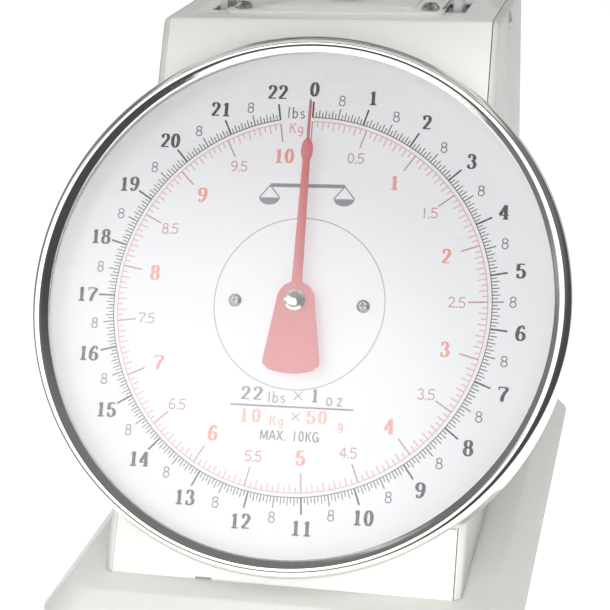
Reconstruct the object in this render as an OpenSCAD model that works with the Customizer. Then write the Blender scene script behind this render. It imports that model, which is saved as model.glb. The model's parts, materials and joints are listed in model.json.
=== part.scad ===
// Mechanical dial platform scale, 10 kg by 50 g and 22 lb by 1 oz.
// A sheet steel housing on a pressed base carries a leaning round dial.
// The platform hangs on two springs, and a rack and pinion turn the pointer.
// Frame: +Z up, the dial faces -Y, origin on the table under the middle of the scale's box.

/* [Dial] */
// Lean of the dial back from vertical
dial_slant = 30; // [29:0.5:31]
// Height of the dial's centre above the table
dial_z = 128; // [127:0.5:129]
// Distance of the dial's centre in front of the origin
dial_front = 67; // [66:0.5:68]
// Radius of the dial face
face_r = 108.7; // [108.1:0.1:108.7]
// Sweep of the pointer from no load to full load
dial_sweep = 350; // [340:1:350]
// Length of the pointer from its axis to its tip
pointer_len = 86.4; // [80:0.2:88]

/* [Bezel] */
// Outer radius of the bezel ring
bezel_r = 112.9; // [112.5:0.1:113.5]
// Width of the bezel's face, from its outer bead to its inner edge
bezel_w = 7.3; // [7.1:0.1:7.6]
// Rise of the domed lens over its edge
lens_rise = 3.2; // [2.6:0.1:3.4]

/* [Housing] */
// Half the width of the housing across its side panels
housing_hw = 74.6; // [73.5:0.1:75]
// Height of the housing's top above the table
housing_top = 234; // [233:0.5:235]
// Distance of the housing's back face behind the origin
housing_back = 92; // [91:0.5:94]
// Radius of the rounded edge of the side panels
edge_r = 3.4; // [3:0.1:3.6]
// Thickness of the housing's sheet steel
sheet_t = 1; // [0.8:0.1:1.1]

/* [Base] */
// Half the width of the base at its rim
rim_hw = 98; // [97:0.5:100]
// Distance of the base's front edge from the origin
base_front = 145; // [143:0.5:146]
// Distance of the base's back edge from the origin
base_back = 131; // [129:0.5:133]
// Height of the flat ledge round the housing
ledge_z = 24; // [23.5:0.5:25]
// Height of the rubber feet
foot_h = 11.5; // [10.5:0.5:11.5]

/* [Platform] */
// Side of the square platform pan
pan_side = 220; // [212:1:224]
// Height of the pan's top above the table
pan_top = 270; // [269:0.5:272]
// Depth of the pan's turned-down rim
pan_rim = 13; // [12:0.5:14]
// Distance of the platform's centre behind the origin
mech_y = 35; // [34:0.5:36]

/* [Hidden] */
$fn = 48;
cut = 0.5; // how far a cutting solid runs past the face it cuts

// Housing
seam_x = 71.2;          // half width of the front panel, up to the seam with the sides
seam_gap = 0.4;         // open seam between the front panel and the right side panel
tight_gap = 0.05;       // closed seam between the front panel and the left side panel
foot_gap = 0.4;         // open seam between a side panel and the base
side_t = 1.2;           // side panel thickness
panel_n = -8;           // front panel's outer face, measured along the dial's normal
front_bend = 3;         // outer bend radius between the front and the top
back_bend = 10;         // outer bend radius between the top and the back
top_end = housing_back - back_bend - 1; // where the top sheet ends and the rear cover starts
plate_t = 1.5;          // thickness of the inner brackets
slot_x = [47.3, 57.1];  // leg slots in the top, from the middle
slot_y = [mech_y - 13, mech_y + 13];
side_screw = [mech_y + 6, housing_top - 6.4];      // y and z of a side panel's screw
rear_screw_xz = [for (x = [-55, 55], z = [36, 212]) [x, z]];

// Base
rim_z = foot_h;         // underside of the base's rim
rim_h = 1;
rim_r = 20;             // plan radius of the rim's corners
shoulder_in = 8.7;      // how far the ledge's edge stands in from the rim
shoulder_r = 3;         // rounding of the ledge's edge
shoulder_corner = 14;   // plan radius of the ledge's corners
base_t = 1.2;
base_hole = [58, -95, 84]; // opening under the housing: half width, front, back
frame_screw_y = [26, 80];  // the inner frame's screws into the ledge
foot_xy = [for (x = [-76, 76], y = [-118, 104]) [x, y]];

// Dial
case_wall = 1;
face_t = 0.8;
case_back_n = -7.8;     // back of the dial case
case_top_n = 7;         // top of the case's wall
lens_t = 1.6;
lens_n = 8;             // underside of the lens at its edge
bezel_n = 9.5;          // centre of the bezel's round outer bead
bead_r = 3.3;           // radius of that bead
bezel_slope = 35;       // fall of the bezel's face from the bead to its inner edge
bezel_t = 0.9;
dial_screw_x = 27.2;

// Movement, measured along the dial's normal
arbor_r = 1.5;
run_gap = 0.05;         // radial clearance of a running fit
front_plate_n = [-10.6, -9.1];
rear_plate_n = [-38, -36.5];
pillar_xy = [for (x = [-30, 30], y = [-18, 18]) [x, y]];
pinion_n = [-29, -21];
rack_n = [-28, -22];
pitch_r = 2.4;
teeth = 12;
tooth_pitch = 2 * PI * pitch_r / teeth;
addendum = 0.4;
dedendum = 0.5;
rack_travel = pitch_r * dial_sweep * PI / 180;
travel = rack_travel * cos(dial_slant);   // platform drop at full load
rack_pin_v = 40;        // rack pin's place up the slanted plane
rack_pin_n = (rack_n[0] + rack_n[1]) / 2;
rack_pin_y = -dial_front - rack_pin_n * cos(dial_slant) + rack_pin_v * sin(dial_slant);
rack_pin_z = dial_z + rack_pin_n * sin(dial_slant) + rack_pin_v * cos(dial_slant);
pin_shift = rack_travel * sin(dial_slant); // how far the rack pin moves forward at full load

// Carriage and links
leg_x = [51.2, 54.6];
leg_y = [mech_y - 8, mech_y + 8];
leg_z = [60, pan_top - 9];
bar_z = [rack_pin_z - 1.5, rack_pin_z + 1.5];
spring_y = mech_y + 16;
spring_x = 28;
link_len = 48;
link_drop = travel / 2; // a link is level at half travel
link_lift = asin(link_drop / link_len);
pivot_y = mech_y + link_len;
upper_pin_z = 136;
lower_pin_z = 72;
link_x = [56, 58];
pin_r = 2;
cheek_x = [60, 61.5];
frame_screw_x = cheek_x[1] + 5;
cheek_back = housing_back - 2;
hanger_z = [222, 228];
wire_r = 0.8;
coil_r = 6.5;

// Colours
paint = [0.90, 0.91, 0.89];
steel = [0.70, 0.71, 0.72];
zinc = [0.62, 0.63, 0.64];
chrome = [0.86, 0.86, 0.87];
brass = [0.78, 0.62, 0.32];
rubber = [0.12, 0.12, 0.12];

// The dial's own frame: x to the right, y up the slope, z out of the face.
module on_dial() {
    translate([0, -dial_front, dial_z]) rotate([90 - dial_slant, 0, 0]) children();
}

// Extrudes an outline drawn in the YZ plane from x0 to x1.
module along_x(x0, x1) {
    translate([x0, 0, 0]) rotate([90, 0, 90]) linear_extrude(x1 - x0) children();
}

// A box from its lowest corner to its highest.
module span(low, high) {
    translate(low) cube(high - low);
}

// A cylinder along X from x0 to x1.
module rod_x(x0, x1, y, z, r) {
    translate([x0, y, z]) rotate([0, 90, 0]) cylinder(h = x1 - x0, r = r);
}

// The two mirrored copies of a piece, left and right.
module both_sides() {
    children();
    mirror([1, 0, 0]) children();
}

// A rectangle with round corners, centred in x, from y0 to y1.
module round_rect(hw, y0, y1, r) {
    translate([-hw + r, y0]) square([2 * (hw - r), y1 - y0]);
    translate([-hw, y0 + r]) square([2 * hw, y1 - y0 - 2 * r]);
    for (x = [-hw + r, hw - r], y = [y0 + r, y1 - r]) translate([x, y]) circle(r);
}

// A pan-head screw standing on z = 0, head up, with a crossed recess.
module screw(shank_r, shank_len, head_r, head_h) {
    difference() {
        union() {
            cylinder(h = head_h * 0.45, r = head_r);
            translate([0, 0, head_h * 0.45]) cylinder(h = head_h * 0.55, r1 = head_r, r2 = head_r * 0.62);
            translate([0, 0, -shank_len]) cylinder(h = shank_len, r = shank_r);
        }
        for (a = [0, 90]) rotate([0, 0, a])
            translate([-head_r * 0.5, -head_r * 0.1, head_h * 0.4])
                cube([head_r, head_r * 0.2, head_h]);
    }
}

function unit(v) = v / norm(v);

// Points along a round of radius r in the corner b between a and c.
function fillet(a, b, c, r, n = 6) =
    let (
        u = unit(a - b),
        w = unit(c - b),
        half = acos(u * w) / 2,
        mid = b + unit(u + w) * r / sin(half),
        p = b + u * r / tan(half) - mid,
        q = b + w * r / tan(half) - mid,
        start = atan2(p.y, p.x),
        turn = (atan2(q.y, q.x) - start + 540) % 360 - 180
    ) [for (i = [0:n]) mid + r * [cos(start + turn * i / n), sin(start + turn * i / n)]];

// The slanted front's y at a height, moved in by a distance.
function front_y(z, inset = 0) =
    -dial_front - panel_n * cos(dial_slant)
    + (z - dial_z - panel_n * sin(dial_slant)) * tan(dial_slant) + inset / cos(dial_slant);

// The housing's side outline in the YZ plane, moved in by a distance. It runs on below the ledge.
function outline(inset) =
    let (
        low = ledge_z - 12,
        top = housing_top - inset,
        back = housing_back - inset,
        a = [front_y(low, inset), low],
        b = [front_y(top, inset), top],
        c = [back, top],
        d = [back, low]
    ) concat([a], fillet(a, b, c, front_bend - inset * 0.5), fillet(b, c, d, back_bend - inset), [d]);

// ---- Base ----

// The base's outer form, or its inner form when moved in by a thickness.
module base_form(inset) {
    hw = rim_hw - shoulder_in - inset;
    y0 = -base_front + shoulder_in + 2 + inset;
    y1 = base_back - shoulder_in - inset;
    corner = shoulder_corner - inset;
    hull() {
        for (x = [-hw + corner, hw - corner], y = [y0 + corner, y1 - corner])
            translate([x, y, ledge_z - shoulder_r - (inset > 0 ? base_t : 0)])
                rotate_extrude($fn = 32) translate([corner - shoulder_r, 0]) circle(shoulder_r, $fn = 20);
        for (x = [-1, 1], y = [-base_front + rim_r, base_back - rim_r])
            translate([x * (rim_hw - rim_r), y, rim_z - (inset > 0 ? cut : 0)])
                cylinder(h = rim_h, r = rim_r - inset, $fn = 64);
    }
}

module base_pan() {
    color(paint) difference() {
        union() {
            difference() {
                base_form(0);
                base_form(base_t);
            }
            for (p = foot_xy) translate([p.x, p.y, rim_z + base_t]) cylinder(h = ledge_z - rim_z - 2 * base_t, r = 6);
        }
        span([-base_hole[0], base_hole[1], 0], [base_hole[0], base_hole[2], ledge_z + cut]);
        for (p = foot_xy) translate([p.x, p.y, 0]) cylinder(h = ledge_z - 3, r = 2.05);
        both_sides() for (y = frame_screw_y) translate([frame_screw_x, y, ledge_z - 5]) cylinder(h = 6, r = 2.2);
    }
}

module bottom_plate() {
    color(zinc) translate([0, 0, rim_z]) linear_extrude(base_t) difference() {
        round_rect(rim_hw - 3, -base_front + 3, base_back - 3, rim_r - 3);
        for (p = foot_xy) translate(p) circle(2.1);
    }
}

module rubber_feet() {
    color(rubber) for (p = foot_xy) translate([p.x, p.y, 0]) difference() {
        union() {
            cylinder(h = 2, r1 = 9, r2 = 10);
            translate([0, 0, 2]) cylinder(h = foot_h - 2, r1 = 10, r2 = 11);
        }
        translate([0, 0, -cut]) cylinder(h = 5 + cut, r = 5);
        cylinder(h = foot_h + cut, r = 2.1);
    }
}

module foot_screws() {
    color(zinc) for (p = foot_xy) translate([p.x, p.y, 5]) mirror([0, 0, 1]) screw(2, 15, 4, 2.4);
}

// ---- Housing ----

module front_panel() {
    color(paint) difference() {
        along_x(-seam_x, seam_x) difference() {
            polygon(outline(0));
            polygon(outline(sheet_t));
            translate([top_end, 0]) square([40, housing_top + cut]);
            translate([-200, 0]) square([400, ledge_z]);
        }
        both_sides() span([slot_x[0], slot_y[0], housing_top - 5], [slot_x[1], slot_y[1], housing_top + cut]);
        for (x = [-42, 42], y = [21, 63]) translate([x, y, housing_top - 5]) cylinder(h = 6, r = 2.1);
        translate([0, spring_y, housing_top - 5]) cylinder(h = 6, r = 6);
        on_dial() {
            translate([0, 0, panel_n - 5]) cylinder(h = 6, r = 14);
            for (x = [-dial_screw_x, dial_screw_x]) translate([x, 0, panel_n - 5]) cylinder(h = 6, r = 1.6);
        }
        // Locating notch at the foot of the panel
        span([-35.2, front_y(ledge_z) - 2, ledge_z - cut], [-28.4, front_y(ledge_z) + 4, ledge_z + 0.8]);
    }
}

// The housing's solid right-hand edge: quarter round from the seam to the side face.
module edge_form(thick) {
    round_r = edge_r - thick;
    hull() {
        along_x(0, 1) polygon(outline(thick));
        for (a = [0:18:90]) translate([housing_hw - edge_r + round_r * sin(a) - 0.01, 0, 0])
            along_x(0, 0.01) polygon(outline(thick + round_r * (1 - cos(a))));
    }
}

module side_panel(gap) {
    difference() {
        edge_form(0);
        edge_form(side_t);
        span([-1, -200, 0], [seam_x + gap, 200, housing_top + 1]);
        span([0, -200, 0], [100, 200, ledge_z + foot_gap]);
        rod_x(housing_hw - 3, housing_hw + 1, side_screw[0], side_screw[1], 2.1);
        rod_x(housing_hw - 0.6, housing_hw + 1, side_screw[0], side_screw[1], 4.5);
    }
}

module side_panel_left() {
    color(paint) mirror([1, 0, 0]) side_panel(tight_gap);
}

module side_panel_right() {
    color(paint) side_panel(seam_gap);
}

module side_screws() {
    color(zinc) both_sides() translate([housing_hw - 0.6, side_screw[0], side_screw[1]])
        rotate([0, 90, 0]) screw(1.9, housing_hw - 0.6 - cheek_x[0] + 1, 3.6, 1.2);
}

module side_spacers() {
    color(zinc) both_sides() difference() {
        rod_x(cheek_x[1], housing_hw - side_t, side_screw[0], side_screw[1], 2.8);
        rod_x(cheek_x[1] - 1, housing_hw, side_screw[0], side_screw[1], 2);
    }
}

module rear_cover() {
    color(paint) difference() {
        along_x(-seam_x, seam_x) difference() {
            polygon(outline(0));
            polygon(outline(sheet_t));
            translate([-200, 0]) square([200 + top_end + 0.3, housing_top + cut]);
            translate([-200, 0]) square([400, ledge_z]);
        }
        for (p = rear_screw_xz) translate([p[0], housing_back + cut, p[1]])
            rotate([90, 0, 0]) cylinder(h = 6, r = 1.9);
    }
}

module rear_cover_screws() {
    color(zinc) for (p = rear_screw_xz) translate([p[0], housing_back, p[1]])
        rotate([-90, 0, 0]) screw(1.8, 7, 3.5, 2.2);
}

// ---- Dial ----

module dial_case() {
    shelf = face_r - 6;
    wall = face_r + 0.2;
    color(paint) on_dial() difference() {
        rotate_extrude($fn = 96) polygon([
            [5, case_back_n], [shelf - 6, case_back_n], [shelf, -face_t - case_wall],
            [bezel_r - 1.1, -face_t - case_wall], [bezel_r - 1.1, -face_t],
            [wall + case_wall, -face_t], [wall + case_wall, case_top_n], [wall, case_top_n],
            [wall, -face_t], [shelf - 0.5, -face_t], [shelf - 6.5, case_back_n + case_wall],
            [5, case_back_n + case_wall]
        ]);
        for (x = [-dial_screw_x, dial_screw_x]) translate([x, 0, case_back_n - 1]) cylinder(h = 3, r = 1.6);
    }
}

module dial_face() {
    color([0.96, 0.96, 0.97]) on_dial() translate([0, 0, -face_t]) difference() {
        cylinder(h = face_t, r = face_r, $fn = 96);
        translate([0, 0, -cut]) cylinder(h = face_t + 2 * cut, r = 4);
        for (x = [-dial_screw_x, dial_screw_x]) translate([x, 0, -cut]) cylinder(h = 2, r = 1.6);
    }
}

module dial_spacers() {
    gap = -face_t - (case_back_n + case_wall);
    color(brass) on_dial() for (x = [-dial_screw_x, dial_screw_x])
        translate([x, 0, case_back_n + case_wall]) difference() {
            cylinder(h = gap, r = 3.5);
            translate([0, 0, -cut]) cylinder(h = gap + 2 * cut, r = 1.6);
        }
}

module dial_screws() {
    color(steel) on_dial() for (x = [-dial_screw_x, dial_screw_x])
        translate([x, 0, 0]) screw(1.5, -front_plate_n[0] + 2, 2.7, 1.5);
}

module bezel_ring() {
    bead = [bezel_r - bead_r, bezel_n];
    inner = bezel_r - bezel_w;
    skirt_n = -3;
    seat_n = lens_n + lens_t + 0.35;
    crest = bead + bead_r * [-sin(bezel_slope), cos(bezel_slope)];
    lip_n = crest.y - (crest.x - inner) * tan(bezel_slope);
    color(chrome) on_dial() rotate_extrude($fn = 96) difference() {
        union() {
            translate(bead) circle(bead_r);
            polygon([bead, crest, [inner, lip_n], [inner, skirt_n], [bead.x, skirt_n]]);
            translate([bead.x, skirt_n]) square([bead_r, bezel_n - skirt_n]);
        }
        translate(bead) circle(bead_r - bezel_t);
        // Hollow back, and the seat for the lens, a little clear of its dome
        translate([inner - cut, skirt_n - cut]) square([bezel_w - bezel_t + cut, seat_n - skirt_n + cut]);
    }
}

module lens() {
    r = face_r;
    dome_r = (r * r + lens_rise * lens_rise) / (2 * lens_rise);
    steps = 14;
    arc = [for (i = [0:steps]) let (x = r * i / steps) [x, sqrt(dome_r * dome_r - x * x) - dome_r + lens_rise]];
    color([0.8, 0.88, 0.9, 0.35]) on_dial() rotate_extrude($fn = 96) polygon(concat(
        [for (p = arc) [p.x, lens_n + lens_t + p.y]],
        [for (i = [steps:-1:0]) [arc[i].x, lens_n + arc[i].y]]
    ));
}

module lens_gasket() {
    color([0.8, 0.8, 0.8]) on_dial() translate([0, 0, case_top_n]) difference() {
        cylinder(h = lens_n - case_top_n, r = face_r + 1.2, $fn = 96);
        translate([0, 0, -cut]) cylinder(h = 4, r = face_r - 1.7, $fn = 96);
    }
}

// ---- Top bracket and inner frame ----

bracket_y = [12, 68];
bracket_screw_xy = [for (x = [-42, 42], y = [21, 63]) [x, y]];

module top_bracket() {
    hw = 48.6;
    color(paint) translate([0, 0, housing_top]) difference() {
        union() {
            linear_extrude(plate_t) difference() {
                round_rect(hw, bracket_y[0], bracket_y[1], 5);
                both_sides() translate([slot_x[0] - 0.3, slot_y[0]]) square([10, slot_y[1] - slot_y[0]]);
            }
            // Embossed middle
            translate([0, 0, plate_t]) linear_extrude(0.8) round_rect(35, bracket_y[0] + 8, bracket_y[1] - 8, 5);
        }
        for (p = bracket_screw_xy) translate([p.x, p.y, -cut]) cylinder(h = 4, r = 2.1);
        translate([0, spring_y, -cut]) cylinder(h = 4, r = 2.6);
    }
}

module top_bracket_screws() {
    color(steel) for (p = bracket_screw_xy) translate([p.x, p.y, housing_top + plate_t]) screw(2, 8, 4, 2.6);
}

module main_frame() {
    web_z = housing_top - sheet_t - plate_t;
    color(zinc) difference() {
        union() {
            both_sides() {
                along_x(cheek_x[0], cheek_x[1]) polygon([
                    [18, ledge_z], [cheek_back, ledge_z], [cheek_back, housing_top - 12],
                    [78, housing_top - sheet_t], [18, housing_top - sheet_t]
                ]);
                span([cheek_x[1], 18, ledge_z], [cheek_x[1] + 9, cheek_back, ledge_z + plate_t]);
                span([50, cheek_back - plate_t, ledge_z], [cheek_x[0], cheek_back, housing_top - 14]);
            }
            span([-cheek_x[0], 18, web_z], [cheek_x[0], 78, web_z + plate_t]);
        }
        both_sides() {
            span([slot_x[0], slot_y[0], web_z - cut], [slot_x[1], slot_y[1], web_z + 2]);
            rod_x(cheek_x[0] - 1, cheek_x[1] + 1, pivot_y, upper_pin_z - link_drop, pin_r);
            rod_x(cheek_x[0] - 1, cheek_x[1] + 1, pivot_y, lower_pin_z - link_drop, pin_r);
            for (y = frame_screw_y) translate([frame_screw_x, y, ledge_z - cut]) cylinder(h = 4, r = 2.1);
            rod_x(cheek_x[0] - 1, cheek_x[1] + 1, side_screw[0], side_screw[1], 1.9);
        }
        for (p = rear_screw_xz) translate([p[0], cheek_back + cut, p[1]])
            rotate([90, 0, 0]) cylinder(h = 3, r = 1.8);
        for (p = bracket_screw_xy) translate([p.x, p.y, web_z - cut]) cylinder(h = 4, r = 2.1);
        translate([0, spring_y, web_z - cut]) cylinder(h = 4, r = 6);
        // Weight-saving windows in the cheeks
        span([-100, 46, 90], [100, 72, 122]);
        span([-100, 46, 150], [100, 72, 205]);
    }
}

module main_frame_screws() {
    color(zinc) both_sides() for (y = frame_screw_y)
        translate([frame_screw_x, y, ledge_z + plate_t]) screw(2, 5, 3.6, 2.2);
}

module fulcrum_shaft(z) {
    color(steel) rod_x(-cheek_x[1] - 1, cheek_x[1] + 1, pivot_y, z - link_drop, pin_r);
}

module upper_fulcrum_shaft() {
    fulcrum_shaft(upper_pin_z);
}

module lower_fulcrum_shaft() {
    fulcrum_shaft(lower_pin_z);
}

// ---- Movement ----

module movement_plate(n, bush_r, screw_r) {
    on_dial() translate([0, 0, n[0]]) difference() {
        linear_extrude(n[1] - n[0]) round_rect(36, -25, 25, 5);
        translate([0, 0, -cut]) cylinder(h = 3, r = bush_r);
        for (p = pillar_xy) translate([p.x, p.y, -cut]) cylinder(h = 3, r = 1.6);
        if (screw_r > 0) for (x = [-dial_screw_x, dial_screw_x])
            translate([x, 0, -cut]) cylinder(h = 3, r = screw_r);
    }
}

module movement_front_plate() {
    color(brass) movement_plate(front_plate_n, 3.5, 1.5);
}

module movement_rear_plate() {
    color(brass) movement_plate(rear_plate_n, 3.5, 0);
}

module movement_pillars() {
    color(brass) on_dial() for (p = pillar_xy) translate([p.x, p.y, rear_plate_n[1]]) difference() {
        cylinder(h = front_plate_n[0] - rear_plate_n[1], r = 3);
        translate([0, 0, -cut]) cylinder(h = 8, r = 1.5);
    }
}

module movement_screws() {
    color(steel) on_dial() for (p = pillar_xy) translate([p.x, p.y, rear_plate_n[0]])
        mirror([0, 0, 1]) screw(1.5, 7, 2.8, 1.8);
}

// A flanged bush pressed into a plate, its flange towards the gears.
module bush(n, up) {
    on_dial() difference() {
        union() {
            translate([0, 0, n[0]]) cylinder(h = n[1] - n[0], r = 3.5);
            translate([0, 0, up ? n[1] : n[0] - 1.5]) cylinder(h = 1.5, r = 5);
        }
        translate([0, 0, n[0] - 3]) cylinder(h = 8, r = arbor_r + run_gap);
    }
}

module front_bush() {
    color(brass) bush(front_plate_n, false);
}

module rear_bush() {
    color(brass) bush(rear_plate_n, true);
}

module pointer_arbor() {
    color(steel) on_dial() {
        translate([0, 0, rear_plate_n[0] - 2]) cylinder(h = 7.4 - rear_plate_n[0] + 2, r = arbor_r);
    }
}

module pinion() {
    gap_turn = 180 / teeth;
    color(brass) on_dial() translate([0, 0, pinion_n[0]]) difference() {
        union() {
            linear_extrude(pinion_n[1] - pinion_n[0]) {
                circle(pitch_r - dedendum);
                for (i = [0:teeth - 1]) rotate(i * 360 / teeth + gap_turn) polygon([
                    [1, -0.32], [pitch_r, -0.22], [pitch_r + addendum, -0.1],
                    [pitch_r + addendum, 0.1], [pitch_r, 0.22], [1, 0.32]
                ]);
            }
            // Hub between the pinion and the front bush
            translate([0, 0, pinion_n[1] - pinion_n[0]]) cylinder(h = 4, r = 2.6);
        }
        translate([0, 0, -cut]) cylinder(h = 14, r = arbor_r);
    }
}

module rack() {
    root = pitch_r + dedendum + 0.1;
    back = 7;
    top_v = rack_pin_v + 6;
    color(steel) on_dial() difference() {
        union() {
            translate([root, -16, rack_n[0]]) cube([back - root, top_v + 16, rack_n[1] - rack_n[0]]);
            translate([0, 0, rack_n[0]]) linear_extrude(rack_n[1] - rack_n[0])
                for (i = [-2:ceil(rack_travel / tooth_pitch) + 2]) translate([0, i * tooth_pitch]) polygon([
                    [root + cut, -0.34], [pitch_r, -0.2], [pitch_r - addendum, -0.1],
                    [pitch_r - addendum, 0.1], [pitch_r, 0.2], [root + cut, 0.34]
                ]);
        }
        translate([0, rack_pin_v, rack_pin_n]) rotate([0, 90, 0]) cylinder(h = 20, r = arbor_r);
    }
}

module rack_pin() {
    color(steel) {
        rod_x(3.2, 13, rack_pin_y, rack_pin_z, arbor_r);
        rod_x(13, 14.5, rack_pin_y, rack_pin_z, 3);
    }
}

module rack_guide() {
    low = rear_plate_n[1];
    high = front_plate_n[0];
    color(brass) on_dial() difference() {
        translate([7.2, -6, low]) cube([6, 12, high - low]);
        translate([10.2, 0, low - 1]) cylinder(h = high - low + 2, r = 1.5);
    }
}

module pointer() {
    low = 6.4;
    thick = 1;
    lobe_v = 64;
    color([0.80, 0.25, 0.27]) on_dial() {
        difference() {
            union() {
                translate([0, 0, low]) linear_extrude(thick) {
                    polygon([[-2.3, 0], [2.3, 0], [1.5, lobe_v], [-1.5, lobe_v]]);
                    polygon([[-0.72, lobe_v], [0.72, lobe_v], [0.5, pointer_len - 4], [0, pointer_len], [-0.5, pointer_len - 4],
                        [-0.72, lobe_v]]);
                    polygon([for (a = [0:15:345]) [2.5 * cos(a), lobe_v + 5.2 * sin(a)]]);
                    circle(8);
                    intersection() {
                        polygon([[-8, 0], [8, 0], [12.9, -40], [-12.9, -40]]);
                        circle(30.3);
                    }
                }
                translate([0, 0, low - 2]) cylinder(h = 2, r = 4);
            }
            translate([0, 0, 0]) cylinder(h = 12, r = arbor_r);
        }
    }
}

module pointer_cap() {
    color(chrome) on_dial() translate([0, 0, 7.4]) difference() {
        union() {
            cylinder(h = 1.2, r = 4.4);
            translate([0, 0, 1.2]) cylinder(h = 0.9, r1 = 4.4, r2 = 3);
        }
        translate([-5, -0.4, 1.4]) cube([10, 0.8, 2]);
    }
}

// ---- Zero adjustment ----

module spring_hanger() {
    color(zinc) difference() {
        span([-36, spring_y - 5, hanger_z[0]], [36, spring_y + 5, hanger_z[1]]);
        translate([0, spring_y, hanger_z[0] - cut]) cylinder(h = 8, r = 2.5);
        for (x = [-spring_x, spring_x]) translate([x, spring_y, hanger_z[0] - cut]) cylinder(h = 8, r = 1.3);
    }
}

knob_z = housing_top + plate_t + 0.8;

module zero_screw() {
    color(steel) translate([0, spring_y, 0]) {
        translate([0, 0, hanger_z[0] - 3]) cylinder(h = knob_z + 3 - hanger_z[0] + 3, r = 2.45);
    }
}

module zero_clip() {
    color(steel) translate([0, spring_y, housing_top - 1.05]) difference() {
        cylinder(h = 1, r = 4.5);
        translate([0, 0, -cut]) cylinder(h = 2, r = 2.45);
    }
}

module zero_knob() {
    height = 4.6;
    grips = 24;
    color([0.15, 0.15, 0.16]) translate([0, spring_y, knob_z + 0.1]) difference() {
        linear_extrude(height) difference() {
            circle(8);
            for (i = [0:grips - 1]) rotate(i * 360 / grips) translate([8.2, 0]) circle(0.6, $fn = 16);
        }
        translate([0, 0, -cut]) cylinder(h = height - 1.2 + cut, r = 2.45);
        translate([0, 0, height - 0.4]) cylinder(h = 1, r = 5.5);
    }
}

// ---- Carriage ----

// An oblong hole along X through a leg, for a link's pin.
module pin_slot(z) {
    play = 0.25;
    reach = link_len * (1 - cos(link_lift));
    r = pin_r + play;
    for (y = [mech_y, mech_y + reach]) rod_x(leg_x[0] - 1, leg_x[1] + 1, y, z, r);
    span([leg_x[0] - 1, mech_y, z - r], [leg_x[1] + 1, mech_y + reach, z + r]);
}

module carriage() {
    arm_x = [8.5, 11.5];
    slot_front = rack_pin_y - pin_shift - arbor_r - 0.3;
    slot_back = rack_pin_y + arbor_r + 0.3;
    slot_hz = arbor_r + run_gap;
    color(zinc) difference() {
        union() {
            both_sides() {
                span([leg_x[0], leg_y[0], leg_z[0]], [leg_x[1], leg_y[1], leg_z[1]]);
                span([38, leg_y[0], leg_z[1] - 2], [leg_x[0], leg_y[1], leg_z[1]]);
            }
            span([-leg_x[0], leg_y[0], bar_z[0]], [leg_x[0], spring_y + 6, bar_z[1]]);
            span([arm_x[0], slot_front - 2, rack_pin_z - 4], [arm_x[1], leg_y[0] + 4, rack_pin_z + 4]);
        }
        both_sides() {
            pin_slot(upper_pin_z);
            pin_slot(lower_pin_z);
            translate([spring_x, spring_y, bar_z[0] - cut]) cylinder(h = 5, r = 1.3);
            for (y = [leg_y[0] + 4, leg_y[1] - 4]) translate([43, y, leg_z[1] - 3]) cylinder(h = 4, r = 2.1);
            rod_x(leg_x[0] - 1, leg_x[1] + 1, mech_y, 90, 1.9);
        }
        span([arm_x[0] - 1, slot_front, rack_pin_z - slot_hz], [arm_x[1] + 1, slot_back, rack_pin_z + slot_hz]);
        // Lightening window in the crossbar, open for the arm's rivets
        span([-20, leg_y[0] + 6, bar_z[0] - cut], [0, leg_y[1] + 6, bar_z[1] + cut]);
    }
}

module lower_tie_bar() {
    color(zinc) difference() {
        span([-leg_x[0], mech_y - 4, 85], [leg_x[0], mech_y + 4, 95]);
        both_sides() rod_x(leg_x[0] - 8, leg_x[0] + 1, mech_y, 90, 1.8);
    }
}

module tie_bar_screws() {
    color(steel) both_sides() translate([leg_x[1], mech_y, 90]) rotate([0, 90, 0]) screw(1.8, 9, 2.2, 1.1);
}

// Centre line of a spring: straight ends on the axis, with the coils between them.
coil_turns = 11;
coil_steps = 12;
spring_z = [bar_z[0] - 3, hanger_z[1] + 2];
coil_z = [bar_z[1] + 6, hanger_z[0] - 6];
function coil_point(i) =
    let (
        n = coil_turns * coil_steps,
        ease = min(1, i / coil_steps, (n - i) / coil_steps)
    ) [coil_r * ease * cos(i * 360 / coil_steps), coil_r * ease * sin(i * 360 / coil_steps),
       coil_z[0] + (coil_z[1] - coil_z[0]) * i / n];
spring_path = concat(
    [[0, 0, spring_z[0]]], [for (i = [0:coil_turns * coil_steps]) coil_point(i)], [[0, 0, spring_z[1]]]
);

// A round wire of six sides swept along a path.
module wire(path, r) {
    sides = 6;
    last = len(path) - 1;
    function heading(i) = unit(path[min(i + 1, last)] - path[max(i - 1, 0)]);
    function across(i) = let (h = heading(i), a = abs(h.z) > 0.9 ? [0, 1, 0] : [0, 0, 1]) unit(cross(h, a));
    points = [for (i = [0:last], k = [0:sides - 1])
        let (h = heading(i), u = abs(h.z) > 0.9 ? unit([-path[i].y + 0.001, path[i].x + 0.001, 0]) : across(i),
             w = unit(cross(h, u)), v = cross(w, h), a = k * 360 / sides)
        path[i] + r * (cos(a) * v + sin(a) * w)];
    faces = concat(
        [[for (k = [0:sides - 1]) k]],
        [for (i = [0:last - 1], k = [0:sides - 1])
            let (n = (k + 1) % sides)
            [i * sides + k, (i + 1) * sides + k, (i + 1) * sides + n]],
        [for (i = [0:last - 1], k = [0:sides - 1])
            let (n = (k + 1) % sides)
            [i * sides + k, (i + 1) * sides + n, i * sides + n]],
        [[for (k = [sides - 1:-1:0]) last * sides + k]]
    );
    polyhedron(points, faces);
}

module spring(x) {
    color(steel) translate([x, spring_y, 0]) wire(spring_path, wire_r);
}

module spring_left() {
    spring(-spring_x);
}

module spring_right() {
    spring(spring_x);
}

// ---- Links ----

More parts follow.
